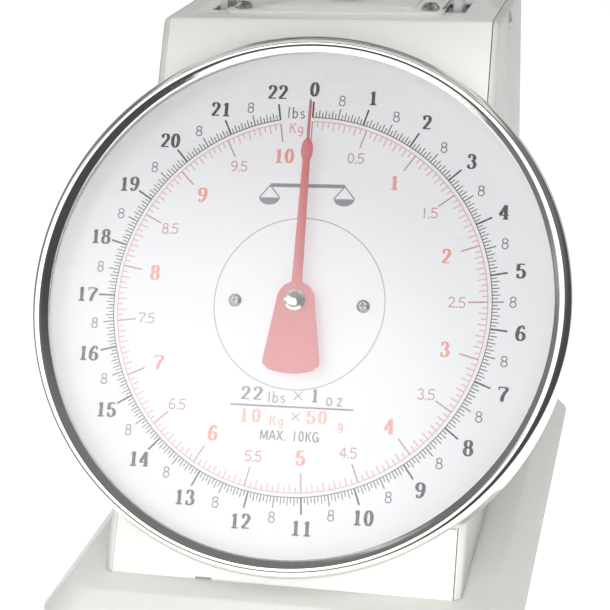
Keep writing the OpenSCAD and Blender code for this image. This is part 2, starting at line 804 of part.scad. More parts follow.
module link(z) {
    pz = z - link_drop;
    color(zinc) difference() {
        union() {
            both_sides() translate([0, pivot_y, pz]) rotate([-link_lift, 0, 0]) along_x(link_x[0], link_x[1]) {
                translate([-link_len, -4]) square([link_len, 8]);
                circle(5);
                translate([-link_len, 0]) circle(4);
            }
            rod_x(-link_x[1], link_x[1], pivot_y, pz, 3.6);
        }
        rod_x(-link_x[1] - 1, link_x[1] + 1, pivot_y, pz, pin_r + run_gap);
        both_sides() translate([0, pivot_y, pz]) rotate([-link_lift, 0, 0])
            rod_x(link_x[0] - 1, link_x[1] + 1, -link_len, 0, pin_r);
    }
}

module link_pins(z) {
    color(steel) both_sides() translate([0, pivot_y, z - link_drop]) rotate([-link_lift, 0, 0])
        rod_x(leg_x[0] - 0.5, link_x[1] + 0.5, -link_len, 0, pin_r);
}

module upper_link() {
    link(upper_pin_z);
}

module lower_link() {
    link(lower_pin_z);
}

module upper_link_pins() {
    link_pins(upper_pin_z);
}

module lower_link_pins() {
    link_pins(lower_pin_z);
}

// ---- Platform ----

pad_reach = 78;
support_z = leg_z[1];

module pan_support() {
    arm_w = 24;
    arm_len = pad_reach * sqrt(2) + 9;
    color(zinc) difference() {
        union() {
            translate([0, mech_y, support_z]) linear_extrude(2) {
                for (a = [45, 135]) rotate(a) {
                    translate([-arm_len + 8, -arm_w / 2]) square([2 * arm_len - 16, arm_w]);
                    for (s = [-1, 1]) translate([s * (arm_len - 12), 0]) circle(arm_w / 2);
                }
                square([112, 40], center = true);
            }
            // Stiffening lips along the arms
            translate([0, mech_y, support_z - 4]) for (a = [45, 135, 225, 315]) rotate(a)
                for (y = [-arm_w / 2, arm_w / 2 - 1.5]) translate([68, y, 0]) cube([36, 1.5, 4]);
        }
        translate([0, spring_y, support_z - cut]) cylinder(h = 4, r = 12);
        for (x = [-43, 43], y = [leg_y[0] + 4, leg_y[1] - 4]) translate([x, y, support_z - cut]) cylinder(h = 4, r = 2.1);
        for (x = [-1, 1], y = [-1, 1]) translate([x * pad_reach, mech_y + y * pad_reach, support_z - cut])
            cylinder(h = 4, r = 2.6);
    }
}

module pan_support_screws() {
    color(steel) for (x = [-43, 43], y = [leg_y[0] + 4, leg_y[1] - 4])
        translate([x, y, support_z + 2]) screw(2, 7, 3.8, 2.2);
}

module support_pads() {
    pad_h = pan_top - 0.8 - support_z - 2;
    color(rubber) for (x = [-1, 1], y = [-1, 1]) translate([x * pad_reach, mech_y + y * pad_reach, support_z + 2]) {
        cylinder(h = pad_h, r = 8);
        translate([0, 0, -2]) cylinder(h = 2, r = 2.5);
        translate([0, 0, -3.5]) cylinder(h = 1.5, r = 4);
    }
}

// The pan's outer form, or its inner form when moved in by a thickness.
module pan_form(inset) {
    hw = pan_side / 2 - inset;
    corner = 15 - inset;
    round_r = 4 - inset;
    low = pan_top - pan_rim - (inset > 0 ? cut : 0);
    translate([0, mech_y, 0]) hull() for (x = [-1, 1], y = [-1, 1]) translate([x * (hw - corner), y * (hw - corner), 0]) {
        translate([0, 0, pan_top - inset - round_r])
            rotate_extrude($fn = 32) translate([corner - round_r, 0]) circle(round_r, $fn = 24);
        translate([0, 0, low]) cylinder(h = 1, r = corner, $fn = 32);
    }
}

module platform_pan() {
    color([0.80, 0.81, 0.82]) difference() {
        pan_form(0);
        pan_form(0.8);
    }
}

base_pan();
bottom_plate();
rubber_feet();
foot_screws();
front_panel();
side_panel_left();
side_panel_right();
side_screws();
side_spacers();
rear_cover();
rear_cover_screws();
dial_case();
dial_face();
dial_spacers();
dial_screws();
bezel_ring();
lens();
lens_gasket();
top_bracket();
top_bracket_screws();
main_frame();
main_frame_screws();
upper_fulcrum_shaft();
lower_fulcrum_shaft();
movement_front_plate();
movement_rear_plate();
movement_pillars();
movement_screws();
front_bush();
rear_bush();
rack_guide();
spring_hanger();
zero_knob();
zero_screw();
zero_clip();
pointer();
pointer_cap();
pointer_arbor();
pinion();
rack();
rack_pin();
carriage();
lower_tie_bar();
tie_bar_screws();
spring_left();
spring_right();
pan_support();
pan_support_screws();
support_pads();
upper_link();
lower_link();
upper_link_pins();
lower_link_pins();
platform_pan();
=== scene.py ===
import json
import math

import bmesh
import bpy
from mathutils import Matrix, Vector


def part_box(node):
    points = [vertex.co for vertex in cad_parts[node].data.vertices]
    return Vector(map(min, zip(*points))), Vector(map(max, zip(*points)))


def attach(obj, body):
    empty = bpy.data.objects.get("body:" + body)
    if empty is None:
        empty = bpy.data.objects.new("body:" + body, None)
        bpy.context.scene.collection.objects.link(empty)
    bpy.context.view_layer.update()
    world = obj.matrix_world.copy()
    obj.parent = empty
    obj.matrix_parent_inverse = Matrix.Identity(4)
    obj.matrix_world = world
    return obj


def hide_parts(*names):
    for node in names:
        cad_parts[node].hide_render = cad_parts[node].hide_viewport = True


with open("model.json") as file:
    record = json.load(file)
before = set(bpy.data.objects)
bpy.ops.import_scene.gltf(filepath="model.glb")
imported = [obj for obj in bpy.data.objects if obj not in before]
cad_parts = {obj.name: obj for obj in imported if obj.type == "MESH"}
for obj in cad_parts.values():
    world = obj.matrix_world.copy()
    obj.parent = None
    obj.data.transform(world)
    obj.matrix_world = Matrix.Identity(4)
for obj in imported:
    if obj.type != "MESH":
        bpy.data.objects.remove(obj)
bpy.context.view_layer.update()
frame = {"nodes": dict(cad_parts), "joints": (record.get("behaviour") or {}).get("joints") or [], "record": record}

MM = 0.001
NODES = frame["nodes"]

# The dial's own frame comes from the pointer's hinge: x to the right, v up the slope, n out of the face.
SPIN = next(joint for joint in frame["joints"] if joint["name"] == "pointer_spin")
HUB = Vector(SPIN["pos_m"])
OUT = -Vector(SPIN["axis"]).normalized()
RIGHT = Vector((1, 0, 0))
UP = OUT.cross(RIGHT)

# Printed dial: every radius is a multiple of the pound scale's circle.
SCALE_R = 80 * MM
POUNDS = 22
KILOS = 10
SWEEP = 350
PRINT_TURN = 0.7  # degrees by which the printed face sits anticlockwise on its screws
PRINT_N = 0.03  # mm that the ink stands off the face
POINTER_TURN = 0.65  # degrees by which the pointer is pressed on anticlockwise


def on_dial(x, v, n):
    """A point of the dial's frame, in mm, as a place in the model, in metres."""
    return HUB + (RIGHT * x + UP * v + OUT * n) * MM


# ---- Camera, floor and light ----

def add_camera():
    """The camera stands to the right of the dial and looks down on it."""
    camera = bpy.data.objects.new("camera", bpy.data.cameras.new("camera"))
    camera.data.sensor_width = 36
    camera.data.lens = 104.57
    camera.data.shift_x = 0.0337
    camera.data.shift_y = -0.0589
    camera.data.clip_start = 0.01
    yaw, pitch, roll = 13.641, -18.296, -1.756
    turn = (
        Matrix.Rotation(math.radians(yaw), 4, "Z")
        @ Matrix.Rotation(math.radians(90 + pitch), 4, "X")
        @ Matrix.Rotation(math.radians(roll), 4, "Z")
    )
    camera.matrix_world = Matrix.Translation((0.1580, -0.7417, 0.3724)) @ turn
    bpy.context.scene.collection.objects.link(camera)
    bpy.context.scene.camera = camera


def add_floor():
    """A white table that glows a little. It ends near the front and the right, so the chrome sees past it."""
    left, right, front, back = -4.0, 0.75, -0.80, 4.0
    mesh = bpy.data.meshes.new("floor")
    corners = [(left, front, 0), (right, front, 0), (right, back, 0), (left, back, 0)]
    mesh.from_pydata(corners, [], [(0, 1, 2, 3)])
    floor = bpy.data.objects.new("floor", mesh)
    bpy.context.scene.collection.objects.link(floor)
    material = bpy.data.materials.new("floor")
    material.use_nodes = True
    shader = material.node_tree.nodes["Principled BSDF"]
    shader.inputs["Base Color"].default_value = (0.50, 0.50, 0.50, 1)
    shader.inputs["Roughness"].default_value = 0.9
    shader.inputs["Specular IOR Level"].default_value = 0.1
    shader.inputs["Emission Color"].default_value = (1, 1, 1, 1)
    shader.inputs["Emission Strength"].default_value = 0.85
    mesh.materials.append(material)


def edge_of_softbox(tree, value, outside, inside):
    """Goes softly from 0 to 1 as a part of the sky's direction goes from one value to another."""
    fade = tree.nodes.new("ShaderNodeMapRange")
    fade.interpolation_type = "SMOOTHSTEP"
    fade.inputs["From Min"].default_value = min(outside, inside)
    fade.inputs["From Max"].default_value = max(outside, inside)
    fade.inputs["To Min"].default_value = 0 if inside > outside else 1
    fade.inputs["To Max"].default_value = 1 if inside > outside else 0
    tree.links.new(value, fade.inputs["Value"])
    return fade.outputs["Result"]


def add_softbox_sky():
    """What gloss reflects: a tall softbox to the front left, in a dark studio. The camera sees white."""
    world = bpy.data.worlds.new("studio")
    bpy.context.scene.world = world
    world.use_nodes = True
    tree = world.node_tree
    background = tree.nodes["Background"]
    split = tree.nodes.new("ShaderNodeSeparateXYZ")
    place = tree.nodes.new("ShaderNodeTexCoord").outputs["Generated"]
    tree.links.new(place, split.inputs["Vector"])
    mask = None
    for axis, outside, inside in SOFTBOX_EDGES:
        side = edge_of_softbox(tree, split.outputs[axis], outside, inside)
        if mask is None:
            mask = side
            continue
        both = tree.nodes.new("ShaderNodeMath")
        both.operation = "MULTIPLY"
        tree.links.new(mask, both.inputs[0])
        tree.links.new(side, both.inputs[1])
        mask = both.outputs["Value"]
    facing = tree.nodes.new("ShaderNodeVectorMath")
    facing.operation = "DOT_PRODUCT"
    facing.inputs[1].default_value = Vector(BULB_TOWARDS).normalized()
    tree.links.new(place, facing.inputs[0])
    bulb_edge = math.cos(math.radians(BULB_SPREAD))
    sources = [
        (mask, SOFTBOX_GLOW),
        (edge_of_softbox(tree, facing.outputs["Value"], bulb_edge, 1.0), BULB_GLOW),
        (edge_of_softbox(tree, split.outputs["Z"], 0.45, 0.90), CEILING_GLOW),
        (edge_of_softbox(tree, split.outputs["X"], -0.60, -0.90), WALL_GLOW),
        (edge_of_softbox(tree, split.outputs["Y"], 0.30, 0.60), BACKDROP_GLOW),
    ]
    total = None
    for source, glow in sources:
        add = tree.nodes.new("ShaderNodeMath")
        add.operation = "MULTIPLY_ADD"
        add.inputs[1].default_value = glow
        tree.links.new(source, add.inputs[0])
        if total is None:
            add.inputs[2].default_value = STUDIO_DARK
        else:
            tree.links.new(total, add.inputs[2])
        total = add.outputs["Value"]
    path = tree.nodes.new("ShaderNodeLightPath")
    plain = tree.nodes.new("ShaderNodeMix")
    plain.inputs["B"].default_value = 1.0
    tree.links.new(path.outputs["Is Camera Ray"], plain.inputs["Factor"])
    tree.links.new(total, plain.inputs["A"])
    tree.links.new(plain.outputs["Result"], background.inputs["Strength"])
    background.inputs["Color"].default_value = (1, 1, 1, 1)
    world.cycles_visibility.diffuse = False  # the paint takes its light from the lamps and the table
    bpy.context.scene.view_settings.view_transform = "Standard"


def add_fill(name, place, target, size, power, shadow=True):
    """A soft lamp that lights the paint but makes no highlight of its own."""
    lamp = bpy.data.lights.new(name, "AREA")
    lamp.shape = "DISK"
    lamp.size = size
    lamp.energy = power
    lamp.use_shadow = shadow
    holder = bpy.data.objects.new(name, lamp)
    holder.location = place
    holder.rotation_euler = (Vector(target) - Vector(place)).to_track_quat("-Z", "Y").to_euler()
    holder.visible_glossy = False
    holder.visible_transmission = False
    bpy.context.scene.collection.objects.link(holder)


# The softbox's edges in the sky: which part of the direction, where it is gone, where it is full.
SOFTBOX_EDGES = [("Z", 0.10, 0.34), ("Z", 0.77, 0.57), ("X", 0.14, -0.16), ("Y", -0.12, -0.45)]
SOFTBOX_GLOW = 1.9
BULB_TOWARDS = (-0.30, -0.82, 0.52)  # the softbox's hot middle
BULB_SPREAD = 17  # degrees from the middle to where its glow is gone
BULB_GLOW = 1.5
CEILING_GLOW = 0.13
WALL_GLOW = 0.13
BACKDROP_GLOW = 0.55  # behind the object, where only the pan and the chrome's far rim look
STUDIO_DARK = 0.075


# ---- Materials ----

class Finish:
    """A procedural material that is built up from a base colour, layer by layer."""

    def __init__(self, name, colour, roughness, **sockets):
        self.material = bpy.data.materials.new(name)
        self.material.use_nodes = True
        self.tree = self.material.node_tree
        self.shader = self.tree.nodes["Principled BSDF"]
        self.shader.inputs["Roughness"].default_value = roughness
        for socket, value in sockets.items():
            self.shader.inputs[socket.replace("_", " ")].default_value = value
        self.place = self.node("ShaderNodeTexCoord").outputs["Object"]
        self.shader.inputs["Base Color"].default_value = (*colour, 1)
        self.colour = None
        self.bump_from = None

    def node(self, kind, **values):
        node = self.tree.nodes.new(kind)
        for key, value in values.items():
            setattr(node, key, value)
        return node

    def link(self, source, target):
        self.tree.links.new(source, target)

    def noise(self, size, detail=3, stretch=(1, 1, 1), rough=0.5):
        """Noise whose features are about size mm across, stretched along the model's axes."""
        mapping = self.node("ShaderNodeMapping")
        mapping.inputs["Scale"].default_value = stretch
        self.link(self.place, mapping.inputs["Vector"])
        noise = self.node("ShaderNodeTexNoise")
        noise.inputs["Scale"].default_value = 1 / (size * MM)
        noise.inputs["Detail"].default_value = detail
        noise.inputs["Roughness"].default_value = rough
        self.link(mapping.outputs["Vector"], noise.inputs["Vector"])
        return noise.outputs["Fac"]

    def ramp(self, value, low, high, to_low=0.0, to_high=1.0):
        node = self.node("ShaderNodeMapRange")
        ends = {"From Min": low, "From Max": high, "To Min": to_low, "To Max": to_high}
        for socket, number in ends.items():
            node.inputs[socket].default_value = number
        self.link(value, node.inputs["Value"])
        return node.outputs["Result"]

    def tint(self, mask, colour):
        """Mixes a colour over the base where the mask is 1."""
        mix = self.node("ShaderNodeMix", data_type="RGBA")
        self.link(mask, mix.inputs["Factor"])
        if self.colour is None:
            mix.inputs[6].default_value = self.shader.inputs["Base Color"].default_value
        else:
            self.link(self.colour, mix.inputs[6])
        mix.inputs[7].default_value = (*colour, 1)
        self.colour = mix.outputs[2]
        self.link(self.colour, self.shader.inputs["Base Color"])

    def vary_roughness(self, mask, low, high):
        self.link(self.ramp(mask, 0.3, 0.7, low, high), self.shader.inputs["Roughness"])

    def bump(self, height, distance, strength=1.0):
        node = self.node("ShaderNodeBump")
        node.inputs["Strength"].default_value = strength
        node.inputs["Distance"].default_value = distance * MM
        self.link(height, node.inputs["Height"])
        if self.bump_from is not None:
            self.link(self.bump_from, node.inputs["Normal"])
        self.bump_from = node.outputs["Normal"]
        self.link(self.bump_from, self.shader.inputs["Normal"])

    def edges(self, radius, gain=1.0):
        """A mask of the corners: where a rounded normal leaves the true one."""
        rounded = self.node("ShaderNodeBevel", samples=4)
        rounded.inputs["Radius"].default_value = radius * MM
        true = self.node("ShaderNodeNewGeometry")
        dot = self.node("ShaderNodeVectorMath", operation="DOT_PRODUCT")
        self.link(rounded.outputs["Normal"], dot.inputs[0])
        self.link(true.outputs["Normal"], dot.inputs[1])
        return self.ramp(dot.outputs["Value"], 0.995, 0.90, 0.0, gain)

    def crevices(self, distance, gain):
        """A mask of the gaps and corners, from ambient occlusion, where shade is painted in."""
        shade = self.node("ShaderNodeAmbientOcclusion", samples=6)
        shade.inputs["Distance"].default_value = distance * MM
        return self.ramp(shade.outputs["AO"], 0.75, 0.25, 0.0, gain)

    def both(self, a, b):
        node = self.node("ShaderNodeMath", operation="MULTIPLY")
        self.link(a, node.inputs[0])
        self.link(b, node.inputs[1])
        return node.outputs["Value"]


def enamel(name, colour):
    """White stoved enamel: orange peel, a little unevenness, thin edges and painted shade in the corners."""
    paint = Finish(name, colour, 0.38, Specular_IOR_Level=0.45, Coat_Weight=0.15, Coat_Roughness=0.2)
    paler = tuple(channel + 0.02 for channel in colour)
    paint.tint(paint.ramp(paint.noise(60, 2), 0.35, 0.7, 0.0, 0.5), paler)
    # Painted shade: a dark grey mixed in where ambient occlusion finds gaps and corners.
    paint.tint(paint.crevices(2.5, 0.45), (0.36, 0.36, 0.33))
    chips = paint.both(paint.edges(0.35), paint.ramp(paint.noise(3.5, 5), 0.56, 0.66))
    paint.tint(paint.ramp(chips, 0, 1, 0.0, 0.35), (0.50, 0.50, 0.48))
    paint.vary_roughness(paint.noise(9, 4), 0.33, 0.46)
    paint.bump(paint.noise(1.1, 2), 0.012)
    paint.bump(paint.noise(28, 2), 0.10)
    return paint.material


def zinc():
    """Zinc plate: fine rolling lines and cloudy grey patches."""
    plate = Finish("zinc", (0.60, 0.62, 0.63), 0.34, Metallic=1.0)
    plate.tint(plate.ramp(plate.noise(7, 4), 0.35, 0.65, 0.0, 0.6), (0.44, 0.46, 0.48))
    # Painted shade: near-black mixed in where ambient occlusion finds gaps and corners.
    plate.tint(plate.crevices(2.0, 0.6), (0.10, 0.10, 0.10))
    plate.vary_roughness(plate.noise(4, 3, (1, 1, 0.1)), 0.26, 0.44)
    plate.bump(plate.noise(0.7, 2, (1, 1, 0.08)), 0.004)
    return plate.material


def carriage_steel():
    """Bright lacquered steel strip, paler than the plated parts."""
    strip = Finish("carriage_steel", (0.80, 0.81, 0.80), 0.42, Metallic=0.55)
    strip.tint(strip.ramp(strip.noise(9, 3), 0.4, 0.7, 0.0, 0.5), (0.70, 0.71, 0.70))
    strip.vary_roughness(strip.noise(5, 3, (1, 1, 0.1)), 0.34, 0.5)
    strip.bump(strip.noise(0.8, 2, (1, 1, 0.1)), 0.004)
    return strip.material


def turned_steel(name, colour):
    """Turned steel with fine tool marks and painted shade in its recesses."""
    steel = Finish(name, colour, 0.22, Metallic=1.0)
    darker = tuple(channel * 0.68 for channel in colour)
    steel.tint(steel.ramp(steel.noise(1.5, 4), 0.35, 0.65, 0.0, 0.5), darker)
    # Painted shade: near-black mixed in where ambient occlusion finds recesses.
    steel.tint(steel.crevices(1.0, 0.9), (0.05, 0.05, 0.04))
    steel.vary_roughness(steel.noise(0.8, 3), 0.16, 0.34)
    steel.bump(steel.noise(0.35, 2), 0.006)
    return steel.material


def spring_wire():
    """Oiled drawn wire, grey with darker bands."""
    wire = Finish("spring_wire", (0.36, 0.36, 0.37), 0.3, Metallic=1.0)
    wire.tint(wire.ramp(wire.noise(3, 4), 0.4, 0.7, 0.0, 0.7), (0.20, 0.19, 0.18))
    wire.vary_roughness(wire.noise(1.2, 3), 0.22, 0.42)
    wire.bump(wire.noise(0.4, 2), 0.004)
    return wire.material


def brass():
    """Machined brass, dulled in patches."""
    metal = Finish("brass", (0.72, 0.53, 0.24), 0.26, Metallic=1.0)
    metal.tint(metal.ramp(metal.noise(4, 5), 0.4, 0.7, 0.0, 0.6), (0.48, 0.33, 0.14))
    metal.vary_roughness(metal.noise(2, 3), 0.2, 0.42)
    metal.bump(metal.noise(0.5, 2), 0.004)
    return metal.material


def bezel_chrome():
    """Mirror polish with the faintest wave of the pressing and hairline wear."""
    chrome = Finish("bezel_chrome", (0.86, 0.85, 0.82), 0.07, Metallic=1.0)
    chrome.tint(chrome.ramp(chrome.noise(6, 5), 0.55, 0.75, 0.0, 0.4), (0.78, 0.77, 0.74))
    chrome.vary_roughness(chrome.noise(2.5, 4), 0.05, 0.11)
    chrome.bump(chrome.noise(14, 1), 0.03)
    return chrome.material


def stainless():
    """Brushed stainless steel, its grain running left to right."""
    sheet = Finish("stainless", (0.70, 0.70, 0.69), 0.28, Metallic=1.0, Anisotropic=0.5)
    sheet.tint(sheet.ramp(sheet.noise(0.5, 4, (0.02, 1, 1), 0.7), 0.3, 0.7, 0.0, 0.5), (0.58, 0.58, 0.58))
    sheet.tint(sheet.ramp(sheet.noise(45, 3), 0.45, 0.75, 0.0, 0.4), (0.62, 0.62, 0.61))
    sheet.vary_roughness(sheet.noise(0.9, 4, (0.03, 1, 1)), 0.2, 0.36)
    sheet.bump(sheet.noise(0.4, 3, (0.02, 1, 1), 0.7), 0.004)
    return sheet.material


def rubber(name, colour, roughness):
    """Moulded rubber with a fine matt grain and dust."""
    block = Finish(name, colour, roughness, Specular_IOR_Level=0.3)
    dusty = tuple(min(1, channel * 1.6 + 0.03) for channel in colour)
    block.tint(block.ramp(block.noise(5, 5), 0.5, 0.75, 0.0, 0.6), dusty)
    block.vary_roughness(block.noise(2, 3), roughness - 0.12, roughness + 0.08)
    block.bump(block.noise(0.5, 3), 0.03)
    return block.material


def knob_plastic():
    """Black moulded plastic, shinier where fingers have polished its edges."""
    plastic = Finish("knob_plastic", (0.022, 0.022, 0.024), 0.42)
    worn = plastic.both(plastic.edges(0.3), plastic.ramp(plastic.noise(1.5, 3), 0.4, 0.6))
    plastic.tint(worn, (0.08, 0.08, 0.08))
    plastic.vary_roughness(plastic.noise(3, 3), 0.34, 0.52)
    plastic.bump(plastic.noise(0.3, 2), 0.01)
    return plastic.material


def dial_white():
    """Printed white lacquer, a touch blue, with a faint roll of the sheet under it."""
    lacquer = Finish("dial_white", (0.82, 0.815, 0.82), 0.32, Specular_IOR_Level=0.35)
    lacquer.tint(lacquer.ramp(lacquer.noise(70, 2), 0.35, 0.7, 0.0, 0.5), (0.80, 0.795, 0.805))
    lacquer.vary_roughness(lacquer.noise(8, 3), 0.27, 0.38)
    lacquer.bump(lacquer.noise(0.9, 2), 0.006)
    return lacquer.material


def ink(name, colour):
    """Screen-printed ink, slightly uneven."""
    layer = Finish(name, colour, 0.5, Specular_IOR_Level=0.3)
    thin = tuple(channel + (0.86 - channel) * 0.22 for channel in colour)
    layer.tint(layer.ramp(layer.noise(0.6, 4), 0.45, 0.75), thin)
    layer.vary_roughness(layer.noise(2, 2), 0.42, 0.58)
    layer.bump(layer.noise(0.2, 2), 0.004)
    return layer.material


def pointer_red():
    """Red satin paint on a stamped pointer."""
    paint = Finish("pointer_red", (0.60, 0.18, 0.19), 0.4, Specular_IOR_Level=0.4)
    paint.tint(paint.ramp(paint.noise(6, 3), 0.35, 0.7, 0.0, 0.5), (0.64, 0.21, 0.215))
    # Painted shade: a darker red along every edge, from the bevel mask, with no noise in it.
    paint.tint(paint.ramp(paint.edges(0.25), 0, 1, 0.0, 0.45), (0.40, 0.08, 0.10))
    paint.vary_roughness(paint.noise(4, 3), 0.34, 0.48)
    paint.bump(paint.noise(0.5, 2), 0.006)
    return paint.material


def clear_lens():
    """Clear acrylic with the faintest bloom and hairline marks from wiping."""
    lens = Finish("clear_lens", (0.985, 0.99, 1.0), 0.02, IOR=1.46, Transmission_Weight=1.0)
    lens.vary_roughness(lens.noise(3, 5, (1, 0.2, 0.2)), 0.0, 0.03)
    lens.bump(lens.noise(30, 1), 0.01)
    clear = lens.node("ShaderNodeBsdfTransparent")
    clear.inputs["Color"].default_value = (0.93, 0.94, 0.95, 1)
    # Light on its way to the dial passes straight through, so that the face under the lens is lit.
    path = lens.node("ShaderNodeLightPath")
    mix = lens.node("ShaderNodeMixShader")
    lens.link(path.outputs["Is Shadow Ray"], mix.inputs["Fac"])
    lens.link(lens.shader.outputs["BSDF"], mix.inputs[1])
    lens.link(clear.outputs["BSDF"], mix.inputs[2])
    out = lens.tree.nodes["Material Output"]
    lens.link(mix.outputs["Shader"], out.inputs["Surface"])
    return lens.material


# ---- Printed dial ----

def arc(cx, cy, rx, ry, start, end, steps=14):
    """Points along an ellipse from one angle to another, in degrees anticlockwise from +x."""
    angles = [math.radians(start + (end - start) * i / steps) for i in range(steps + 1)]
    return [(cx + rx * math.cos(a), cy + ry * math.sin(a)) for a in angles]


def ring(cx, cy, rx, ry):
    """A closed loop: the last point meets the first."""
    return arc(cx, cy, rx, ry, 90, 450, 24)


def smooth_runs(path):
    """Splits a path at its sharp corners, so that each run bends gently."""
    runs, run = [], [path[0]]
    for before, here, after in zip(path, path[1:], path[2:]):
        run.append(here)
        into = math.atan2(here[1] - before[1], here[0] - before[0])
        out = math.atan2(after[1] - here[1], after[0] - here[0])
        if abs(math.remainder(out - into, 2 * math.pi)) > math.radians(50):
            runs.append(run)
            run = [here]
    return runs + [run + [path[-1]]]


# Centre lines of the characters in a box one high, and each one's width.
SHAPES = {
    "0": (0.62, [ring(0.31, 0.5, 0.20, 0.46)]),
    "1": (0.62, [[(0.33, 0.0), (0.33, 0.96)]]),
    "2": (0.62, [arc(0.31, 0.72, 0.20, 0.24, 165, -30) + [(0.30, 0.30), (0.10, 0.06)],
                 [(0.08, 0.07), (0.56, 0.07)]]),
    "3": (0.62, [arc(0.29, 0.74, 0.18, 0.22, 155, -90), arc(0.29, 0.27, 0.22, 0.25, 90, -155)]),
    "4": (0.62, [[(0.42, 0.0), (0.42, 0.96), (0.06, 0.28), (0.60, 0.28)]]),
    "5": (0.62, [[(0.54, 0.94), (0.16, 0.94), (0.13, 0.54)] + arc(0.29, 0.31, 0.23, 0.28, 130, -150)]),
    "6": (0.62, [ring(0.31, 0.29, 0.21, 0.26), arc(0.40, 0.38, 0.30, 0.58, 70, 185)]),
    "7": (0.62, [[(0.08, 0.92), (0.56, 0.92)] + arc(0.90, 0.0, 0.62, 0.86, 124, 180, 8)]),
    "8": (0.62, [ring(0.31, 0.74, 0.18, 0.22), ring(0.31, 0.26, 0.21, 0.26)]),
    "9": (0.62, [ring(0.31, 0.71, 0.21, 0.26), arc(0.22, 0.62, 0.30, 0.58, -110, 5)]),
    "l": (0.24, [[(0.12, 0.0), (0.12, 1.0)]]),
    "b": (0.52, [[(0.10, 0.0), (0.10, 1.0)], ring(0.28, 0.30, 0.18, 0.28)]),
    "s": (0.46, [arc(0.23, 0.46, 0.14, 0.13, 30, 270, 10) + arc(0.23, 0.17, 0.15, 0.15, 90, -150, 10)]),
    "K": (0.62, [[(0.12, 0.0), (0.12, 1.0)], [(0.56, 1.0), (0.12, 0.44)], [(0.28, 0.62), (0.58, 0.0)]]),
    "g": (0.52, [ring(0.26, 0.32, 0.17, 0.26),
                 [(0.44, 0.60), (0.44, -0.10)] + arc(0.27, -0.12, 0.17, 0.17, 0, -150)]),
    "o": (0.54, [ring(0.27, 0.30, 0.19, 0.29)]),
    "z": (0.50, [[(0.08, 0.58), (0.42, 0.58), (0.08, 0.02), (0.44, 0.02)]]),
    "M": (0.82, [[(0.10, 0.0), (0.10, 0.97), (0.41, 0.10), (0.72, 0.97), (0.72, 0.0)]]),
    "A": (0.70, [[(0.05, 0.0), (0.35, 0.97), (0.65, 0.0)], [(0.16, 0.33), (0.54, 0.33)]]),
    "X": (0.66, [[(0.06, 0.0), (0.60, 1.0)], [(0.06, 1.0), (0.60, 0.0)]]),
    "G": (0.72, [arc(0.38, 0.5, 0.28, 0.46, 50, 330, 20), [(0.40, 0.42), (0.65, 0.42), (0.65, 0.05)]]),
    "x": (0.60, [[(0.08, 0.08), (0.52, 0.52)], [(0.08, 0.52), (0.52, 0.08)]]),
    ".": (0.22, [[(0.11, 0.0), (0.11, 0.12)]]),
    " ": (0.40, []),
}

# What the bold numerals add: slab feet and flags as bars, and round drops as centre and radius.
SERIF_BARS = {
    "1": [((0.12, 0.04), (0.54, 0.04)), ((0.15, 0.80), (0.34, 0.93))],
    "4": [((0.26, 0.04), (0.58, 0.04))],
    "7": [((0.09, 0.76), (0.09, 0.96))],
}
DROPS = {
    "2": [(0.15, 0.75)],
    "3": [(0.15, 0.80), (0.12, 0.21)],
    "5": [(0.12, 0.22)],
    "6": [(0.49, 0.84)],
    "9": [(0.13, 0.14)],
}
DROP_R = 0.09
SERIF_T = 0.085  # thickness of the level strokes and serifs
BOLD_T = 0.235  # thickness of the uprights

INK_STEP = 0.012  # mm from one ink's layer to the next
STROKE_STEP = 0.0003  # mm by which each stroke lies over the last, so that none coincide


